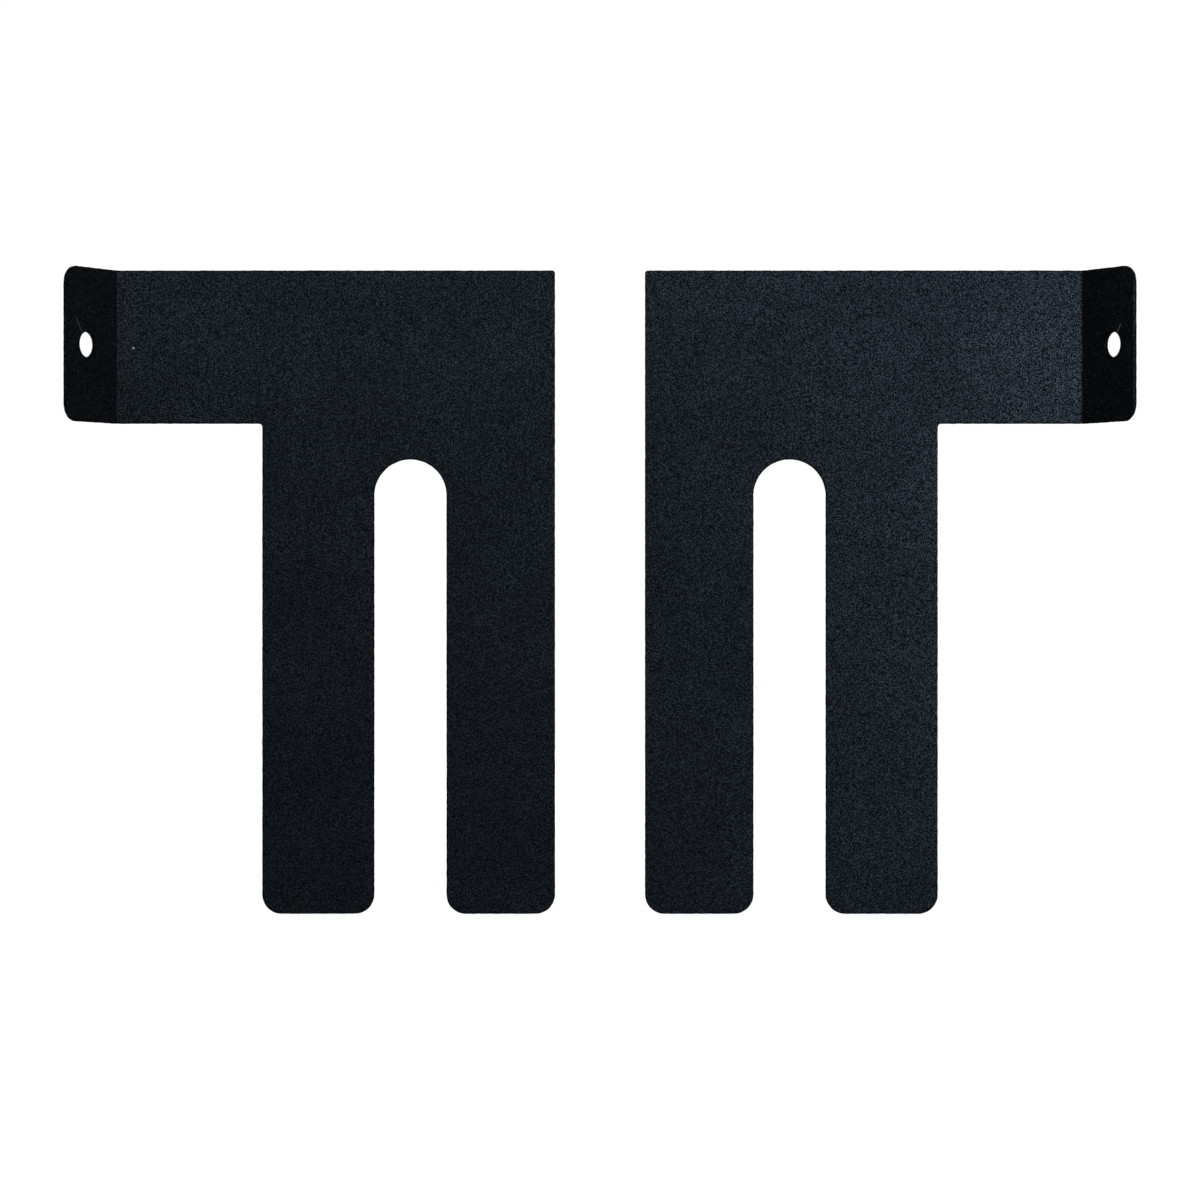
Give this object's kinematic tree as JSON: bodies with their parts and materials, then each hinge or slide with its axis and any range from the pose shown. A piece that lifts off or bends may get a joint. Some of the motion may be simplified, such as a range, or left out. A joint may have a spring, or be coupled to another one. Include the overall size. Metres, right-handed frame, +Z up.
{
  "type": "pair of book ends",
  "caption": "Mirror-image book ends of bent black sheet steel, each a slotted two-leg plate with an arm that ends in an angled screw tab.",
  "frame": {"origin": "at the height of the feet, midway between the two book ends, and midway between the front of the tabs and the back of the plates", "axes": "+X to the right along the pair, -Y to the front where the tabs point, +Z up from the feet to the heads"},
  "size_m": [0.295, 0.0212, 0.18],
  "materials": {
    "black_powder_coat": "fine-textured black powder coat on cold-rolled steel sheet, satin"
  },
  "bodies": {
    "left": {"left_book_end": "black_powder_coat"},
    "right": {"right_book_end": "black_powder_coat"}
  },
  "joints": [
    {"name": "spacing", "type": "slide", "parent": "left", "child": "right", "axis": [1, 0, 0], "range_m": [-0.024, 0.3]}
  ]
}
